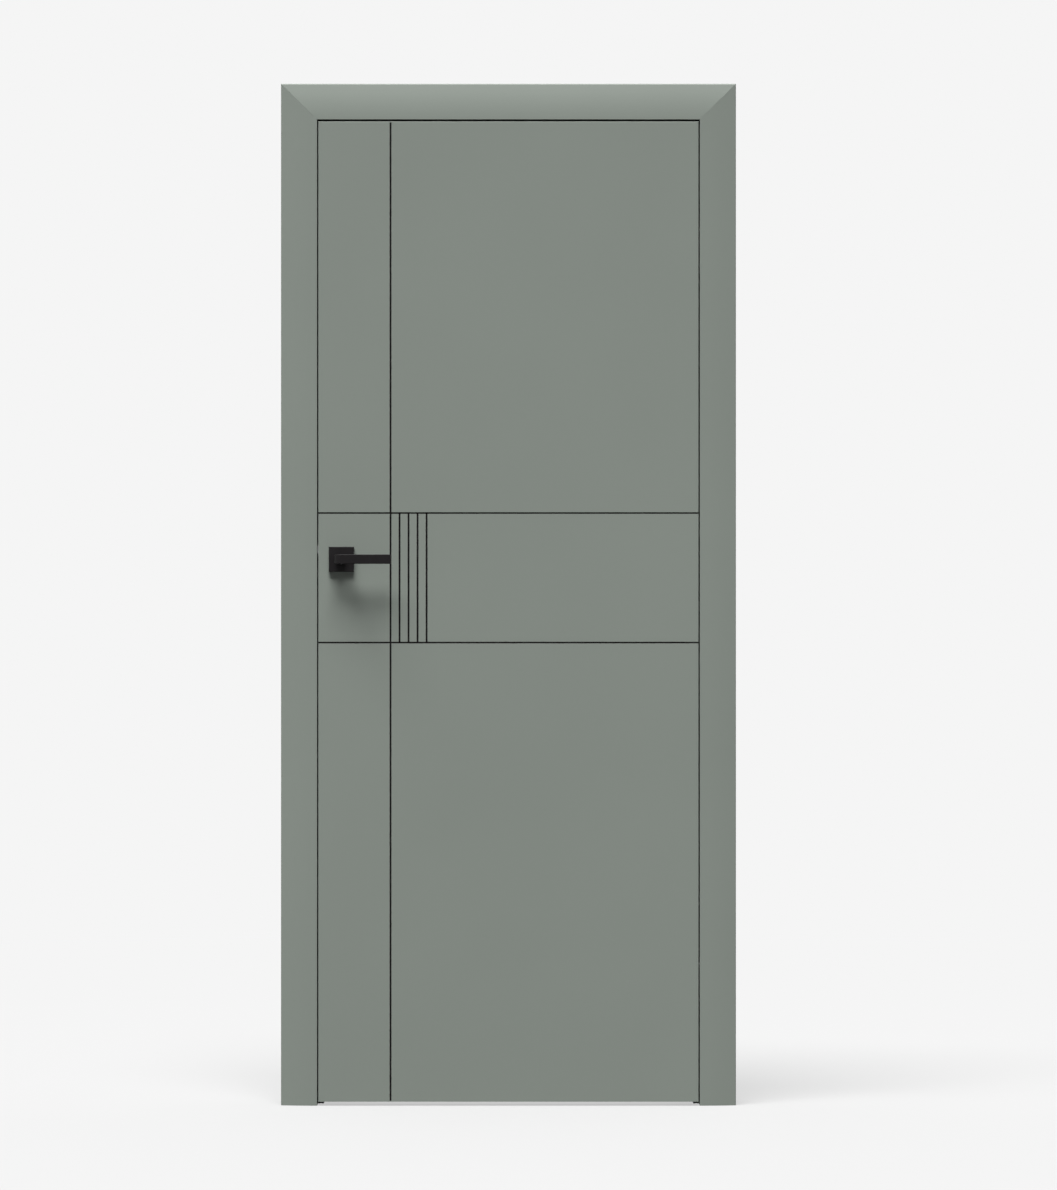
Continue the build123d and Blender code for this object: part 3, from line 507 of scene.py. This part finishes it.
raised = dict(countersunk, headRadius=hingeScrews["headRadius"], recessDepth=hingeScrews["recessDepth"])
for side, direction in (("frame", 1), ("leaf", -1)):
    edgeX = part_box(f"hinge_{side}_body_lower")[0 if direction > 0 else 1][0]
    y = middleOf(f"hinge_{side}_body_lower", 1)
    centres = [middleOf(f"hinge_{side}_body_{level}", 2) for level in ("lower", "upper")]
    for label, rings, offsets in (
            ("screws", screwRings(raised, dome=hingeScrews["dome"]), hingeScrews["offsets"]),
            ("adjusters", hexRings(hexAdjuster), hexAdjuster["offsets"])):
        starts = [(edgeX, y, centre + offset) for centre in centres for offset in offsets]
        screwsOn(f"hinge_{side}_{label}", rings, starts, direction, side)
print("hinge screws and adjusters")

# Set screw in the underside of each lever's neck, of which only the end with its hexagon socket is made
setScrew = dict(hexAdjuster, radius=0.0024, socket=0.00125, proud=0.00025, fromFace=0.022)
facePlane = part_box("facing_front")[0][1]
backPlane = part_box("facing_back")[1][1]
spindleX = middleOf("spindle", 0)
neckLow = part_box("lever_front")[0][2]
starts = np.array([(spindleX, facePlane - setScrew["fromFace"], neckLow),
                   (spindleX, backPlane + setScrew["fromFace"], neckLow)])
upwards = np.stack([np.array([[0, 0, -1.0], [0, 1.0, 0], [1.0, 0, 0]])] * 2)   # own X turned to +Z
setScrews = closedRings("lever_set_screws", *hexRings(setScrew), starts, upwards)
setScrews.data.materials.append(finishes["zinc_steel"])
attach(setScrews, "lever")
print("set screws")

# Latch spring: a bowed strip between the bolt's tail and the rear wall of the case. The real spring shortens
# as the bolt goes in; this strip keeps one shape
spring = {
    "thickness": 0.0005,
    "bow": 0.005,            # from the top of the strip to the middle of the bow, along X
    "bowRise": 0.010,        # height of the bow's middle over the middle of the bolt
    "along": 40,
    "around": 24,
    "roundness": 0.3,
    "shortest": 0.12,        # share of its length that is left when the bolt is right in
}


def springRings(look):
    # parabola through the foot, the bow and the top of the strip, by the three-point formula in t; round
    # each point a box with rounded corners: cosine and sine of the angle, each to a low power
    low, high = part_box("latch_spring")
    half = look["thickness"] / 2
    foot = np.array([low[0] + half, low[2] + half])
    bow = np.array([high[0] - half - look["bow"], middleOf("latch_bolt", 2) + look["bowRise"]])
    top = np.array([high[0] - half, high[2] - half])
    share = np.linalg.norm(bow - foot) / (np.linalg.norm(bow - foot) + np.linalg.norm(top - bow))
    t = np.linspace(0, 1, look["along"])[:, None]
    path = (foot * (t - share) * (t - 1) / share + bow * t * (t - 1) / (share * (share - 1))
            + top * t * (t - share) / (1 - share))
    along = np.gradient(path, axis=0)
    along /= np.linalg.norm(along, axis=1, keepdims=True)
    turn = np.linspace(0, 2 * math.pi, look["around"], endpoint=False)
    thick = np.sign(np.cos(turn)) * np.abs(np.cos(turn)) ** look["roundness"] * half
    wide = np.sign(np.sin(turn)) * np.abs(np.sin(turn)) ** look["roundness"] * (high[1] - low[1]) / 2
    x = path[:, :1] + along[:, 1:] * thick
    z = path[:, 1:] - along[:, :1] * thick
    middle = middleOf("latch_spring", 1)
    y = np.broadcast_to(middle + wide, x.shape)
    ends = [(point[0], middle, point[1]) for point in (path[0], path[-1])]
    return np.stack([x, y, z], axis=-1), *ends


latchSpring = closedRings("latch_spring_strip", *springRings(spring), np.zeros((1, 3)), np.eye(3)[None])
latchSpring.data.materials.append(finishes["zinc_steel"])
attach(latchSpring, "leaf")
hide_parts("latch_spring")
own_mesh(latchSpring)
print("latch spring")

# Painted shade beside the inlays: a dark hairline on either side of every strip, on both faces, drawn as a
# thin black sheet for the shadow in the narrow gap between the strip and its groove
gapShade = {
    "upright": 0.0005,       # width beside the upright strips
    "across": 0.0003,        # width beside the cross strips
    "proud": 0.00004,
    "sunk": 0.0003,
    "around": 12,
    "shortCount": 4,         # short upright strips between the two cross strips
}


def gapShadeMesh(name, starts, ends, sideways, outwards):
    # flattened round section carried straight from each start to its end, sideways being half its width:
    # point = start + t (end - start) + cos a sideways + depth(a) sin a outwards, where depth is the
    # proud height on the outer half of the turn and the sunk one on the inner half
    count, around = len(starts), gapShade["around"]
    turn = np.linspace(0, 2 * math.pi, around, endpoint=False)
    reach = np.cos(turn)
    depth = np.sin(turn) * np.where(np.sin(turn) > 0, gapShade["proud"], gapShade["sunk"])
    section = reach[None, :, None] * sideways[:, None, :] + depth[None, :, None] * outwards[:, None, :]
    first, last = starts[:, None], ends[:, None]
    points = np.concatenate([first + section, last + section, first, last], axis=1)
    j = np.arange(around)
    k = (j + 1) % around
    quads = np.stack([j, k, around + k, around + j], axis=-1)
    caps = np.concatenate([np.stack([np.full(around, 2 * around), k, j], axis=-1),
                           np.stack([np.full(around, 2 * around + 1), around + j, around + k], axis=-1)])
    # a section that turns the wrong way round its own run gives faces that look inwards, so those are
    # turned over
    wrong = np.einsum("ij,ij->i", np.cross(sideways, outwards), ends - starts) < 0
    step = np.arange(count)[:, None, None] * points.shape[1]
    quadSets = np.where(wrong[:, None, None], quads[None, :, ::-1], quads[None]) + step
    capSets = np.where(wrong[:, None, None], caps[None, :, ::-1], caps[None]) + step
    faces = quadSets.reshape(-1, 4).tolist() + capSets.reshape(-1, 3).tolist()
    mesh = bpy.data.meshes.new(name)
    mesh.from_pydata(points.reshape(-1, 3).tolist(), [], faces)
    mesh.update()
    piece = bpy.data.objects.new(name, mesh)
    bpy.context.collection.objects.link(piece)
    # painted shade: these sheets take the inlay's black to stand for the shadow in the gap beside the strip
    piece.data.materials.append(finishes["inlay_black"])
    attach(piece, "leaf")


def gapShadeLines():
    # both long sides of every strip, from the corners of the three inlay solids
    crossLow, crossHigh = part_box("inlay_cross")
    longLow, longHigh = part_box("inlay_long")
    shortLow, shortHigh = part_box("inlay_short")
    width = longHigh[0] - longLow[0]
    off = (width + gapShade["upright"]) / 2
    offAcross = (width + gapShade["across"]) / 2
    levels = (crossLow[2] + width / 2, crossHigh[2] - width / 2)
    shortXs = np.linspace(shortLow[0] + width / 2, shortHigh[0] - width / 2, gapShade["shortCount"])
    longX = (longLow[0] + longHigh[0]) / 2
    lower, between, upper = ((longLow[2], levels[0] - off), (levels[0] + off, levels[1] - off),
                             (levels[1] + off, longHigh[2]))
    runs = [(longX, *part) for part in (lower, between, upper)] + [(x, *between) for x in shortXs]
    starts, ends, sideways = [], [], []
    for side in (-1, 1):
        for x, low, high in runs:
            starts.append((x + side * off, 0, low))
            ends.append((x + side * off, 0, high))
            sideways.append((gapShade["upright"] / 2, 0, 0))
        for z in levels:
            starts.append((crossLow[0], 0, z + side * offAcross))
            ends.append((crossHigh[0], 0, z + side * offAcross))
            sideways.append((0, 0, gapShade["across"] / 2))
    return np.array(starts, float), np.array(ends, float), np.array(sideways, float)


starts, ends, sideways = gapShadeLines()
for label, y, way in (("front", facePlane, -1.0), ("back", backPlane, 1.0)):
    level = np.array([0, y, 0])
    outwards = np.tile([0, way, 0], (len(starts), 1))
    gapShadeMesh("inlay_gap_shade_" + label, starts + level, ends + level, sideways, outwards)
print("inlay joints")

# Floor, backdrop and light
stageLook = {
    "background": 0.913,     # 245 of 255 on screen
    "floorColour": 0.379,    # as the camera sees it
    "floorBounce": 0.10,     # as all else sees it: the floor throws little light back
    "floorTones": (0.997, 1.003),
    "toneScale": 3.0,
    "floorRadius": 9.0,
    "floorDrop": 0.0004,     # under the door's feet
    "floorRings": 24,
    "floorAround": 96,
    "floorGlow": 0.55,       # share of the backdrop's own tone in the floor, which keeps its shadow faint
    "fadeFrom": 2.2,
    "fadeTo": 5.0,
    "ambientFront": 0.03,
    "ambientBehind": 1.00,   # lights the back of the door, which the panel doesn't reach
    "ambientTurn": (-0.3, 0.25),   # the Y of the direction, over which the ambient light goes up
}


def floorDisc():
    # polar grid: radius times cosine and sine of the angle, all at one height, closed by one middle
    # point; the radii grow as the power 1.5 of even steps
    count, around, z = stageLook["floorRings"], stageLook["floorAround"], -stageLook["floorDrop"]
    radii = np.linspace(0.05, 1, count) ** 1.5 * stageLook["floorRadius"]
    turn = np.linspace(0, 2 * math.pi, around, endpoint=False)
    r, a = np.meshgrid(radii, turn, indexing="ij")
    points = np.stack([r * np.cos(a), r * np.sin(a), np.full_like(r, z)], axis=-1).reshape(-1, 3)
    i, j = np.meshgrid(np.arange(count - 1) * around, np.arange(around), indexing="ij")
    k = (j + 1) % around
    quads = np.stack([i + j, i + around + j, i + around + k, i + k], axis=-1).reshape(-1, 4)
    middle = np.stack([np.full(around, len(points)), j[0], k[0]], axis=-1)
    mesh = bpy.data.meshes.new("floor")
    mesh.from_pydata(points.tolist() + [[0, 0, z]], [], quads.tolist() + middle.tolist())
    mesh.update()
    disc = bpy.data.objects.new("floor", mesh)
    bpy.context.collection.objects.link(disc)
    return disc


def floorMaterial():
    # plain pale paint; the camera sees the backdrop's tone in it, by a share that goes up from the glow
    # to one between two distances from the middle; the Mix node's colours are its inputs 6 and 7
    paint = (stageLook["floorColour"],) * 3
    material, tree, shader, place = newMaterial("pale_floor", paint, roughness=0.9)
    shader.inputs["Specular IOR Level"].default_value = 0.0
    path = tree.nodes.new("ShaderNodeLightPath")
    cloud = noiseOn(tree, place, stageLook["toneScale"])
    tone = rampOn(tree, cloud, twoTones(paint, *stageLook["floorTones"]))
    asSeen = tree.nodes.new("ShaderNodeMix")
    asSeen.data_type = "RGBA"
    asSeen.inputs[6].default_value = (stageLook["floorBounce"],) * 3 + (1,)
    tree.links.new(path.outputs["Is Camera Ray"], asSeen.inputs[0])
    tree.links.new(tone, asSeen.inputs[7])
    tree.links.new(asSeen.outputs[2], shader.inputs["Base Color"])
    length = tree.nodes.new("ShaderNodeVectorMath")
    length.operation = "LENGTH"
    fade = tree.nodes.new("ShaderNodeMapRange")
    fade.interpolation_type = "SMOOTHSTEP"
    fade.inputs["From Min"].default_value = stageLook["fadeFrom"]
    fade.inputs["From Max"].default_value = stageLook["fadeTo"]
    fade.inputs["To Min"].default_value = stageLook["floorGlow"]
    glow = tree.nodes.new("ShaderNodeEmission")
    glow.inputs["Color"].default_value = (stageLook["background"],) * 3 + (1,)
    seen = tree.nodes.new("ShaderNodeMath")
    seen.operation = "MULTIPLY"
    mix = tree.nodes.new("ShaderNodeMixShader")
    tree.links.new(place.outputs["Object"], length.inputs[0])
    tree.links.new(length.outputs["Value"], fade.inputs["Value"])
    tree.links.new(fade.outputs["Result"], seen.inputs[0])
    tree.links.new(path.outputs["Is Camera Ray"], seen.inputs[1])
    tree.links.new(seen.outputs["Value"], mix.inputs["Fac"])
    tree.links.new(shader.outputs["BSDF"], mix.inputs[1])
    tree.links.new(glow.outputs["Emission"], mix.inputs[2])
    output = next(node for node in tree.nodes if node.type == "OUTPUT_MATERIAL")
    tree.links.new(mix.outputs["Shader"], output.inputs["Surface"])
    return material


floor = floorDisc()
floor.data.materials.append(floorMaterial())


def backdrop():
    # the world gives a plain ambient light, stronger from behind the door, and shows as the pale
    # background to the camera and in gloss
    world = bpy.data.worlds.new("studio")
    bpy.context.scene.world = world
    world.use_nodes = True
    tree = world.node_tree
    tree.nodes.clear()
    output = tree.nodes.new("ShaderNodeOutputWorld")
    ambient, shown = tree.nodes.new("ShaderNodeBackground"), tree.nodes.new("ShaderNodeBackground")
    ambient.inputs["Color"].default_value = (1, 1, 1, 1)
    direction = tree.nodes.new("ShaderNodeTexCoord")
    split = tree.nodes.new("ShaderNodeSeparateXYZ")
    strength = tree.nodes.new("ShaderNodeMapRange")
    strength.inputs["From Min"].default_value = stageLook["ambientTurn"][0]
    strength.inputs["From Max"].default_value = stageLook["ambientTurn"][1]
    strength.inputs["To Min"].default_value = stageLook["ambientFront"]
    strength.inputs["To Max"].default_value = stageLook["ambientBehind"]
    tree.links.new(direction.outputs["Object"], split.inputs["Vector"])
    tree.links.new(split.outputs["Y"], strength.inputs["Value"])
    tree.links.new(strength.outputs["Result"], ambient.inputs["Strength"])
    shown.inputs["Color"].default_value = (stageLook["background"],) * 3 + (1,)
    path = tree.nodes.new("ShaderNodeLightPath")
    either, anyOfThem = tree.nodes.new("ShaderNodeMath"), tree.nodes.new("ShaderNodeMath")
    either.operation = anyOfThem.operation = "MAXIMUM"
    mix = tree.nodes.new("ShaderNodeMixShader")
    tree.links.new(path.outputs["Is Camera Ray"], either.inputs[0])
    tree.links.new(path.outputs["Is Glossy Ray"], either.inputs[1])
    tree.links.new(either.outputs["Value"], anyOfThem.inputs[0])
    tree.links.new(path.outputs["Is Transmission Ray"], anyOfThem.inputs[1])
    tree.links.new(anyOfThem.outputs["Value"], mix.inputs["Fac"])
    tree.links.new(ambient.outputs["Background"], mix.inputs[1])
    tree.links.new(shown.outputs["Background"], mix.inputs[2])
    tree.links.new(mix.outputs["Shader"], output.inputs["Surface"])


backdrop()


# One soft panel, wide and far off, so that the door is lit evenly over its height
overhead = {
    "side": -18.0,           # degrees to the left of the door
    "height": 67.0,          # degrees above the target
    "distance": 240.0,
    "wide": 170.0,
    "tall": 104.0,
    "share": 0.862,          # the tone that it alone would give a pure white front
    "target": (0, 0, 1.0),
}


def softPanel(name, look):
    # the panel stands along its direction and faces the door; its power gives the front of the door
    # its share of the light: share times pi squared times distance squared over the cosine at the face
    across, up = math.radians(look["side"]), math.radians(look["height"])
    way = Vector((math.sin(across) * math.cos(up), -math.cos(across) * math.cos(up), math.sin(up)))
    lamp = bpy.data.lights.new(name, "AREA")
    lamp.shape = "RECTANGLE"
    lamp.size, lamp.size_y = look["wide"], look["tall"]
    lamp.energy = look["share"] * math.pi ** 2 * look["distance"] ** 2 / -way.y
    panel = bpy.data.objects.new(name, lamp)
    bpy.context.collection.objects.link(panel)
    panel.location = Vector(look["target"]) + way * look["distance"]
    panel.rotation_euler = way.to_track_quat("Z", "Y").to_euler()


softPanel("overhead", overhead)
print("stage and light")

# Camera: straight at the door from ten metres, at half its height
viewpoint = {"lens": 150.0, "sensor": 36.0, "place": (0.0409, -10.1555, 1.0419), "farthest": 60.0}
camera = bpy.data.objects.new("camera", bpy.data.cameras.new("camera"))
camera.data.lens = viewpoint["lens"]
camera.data.sensor_width = viewpoint["sensor"]
camera.location = viewpoint["place"]
camera.rotation_euler = (math.radians(90), 0, 0)
camera.data.clip_end = viewpoint["farthest"]
bpy.context.collection.objects.link(camera)
bpy.context.scene.camera = camera
bpy.context.scene.view_settings.view_transform = "Standard"

print("camera and sizes")
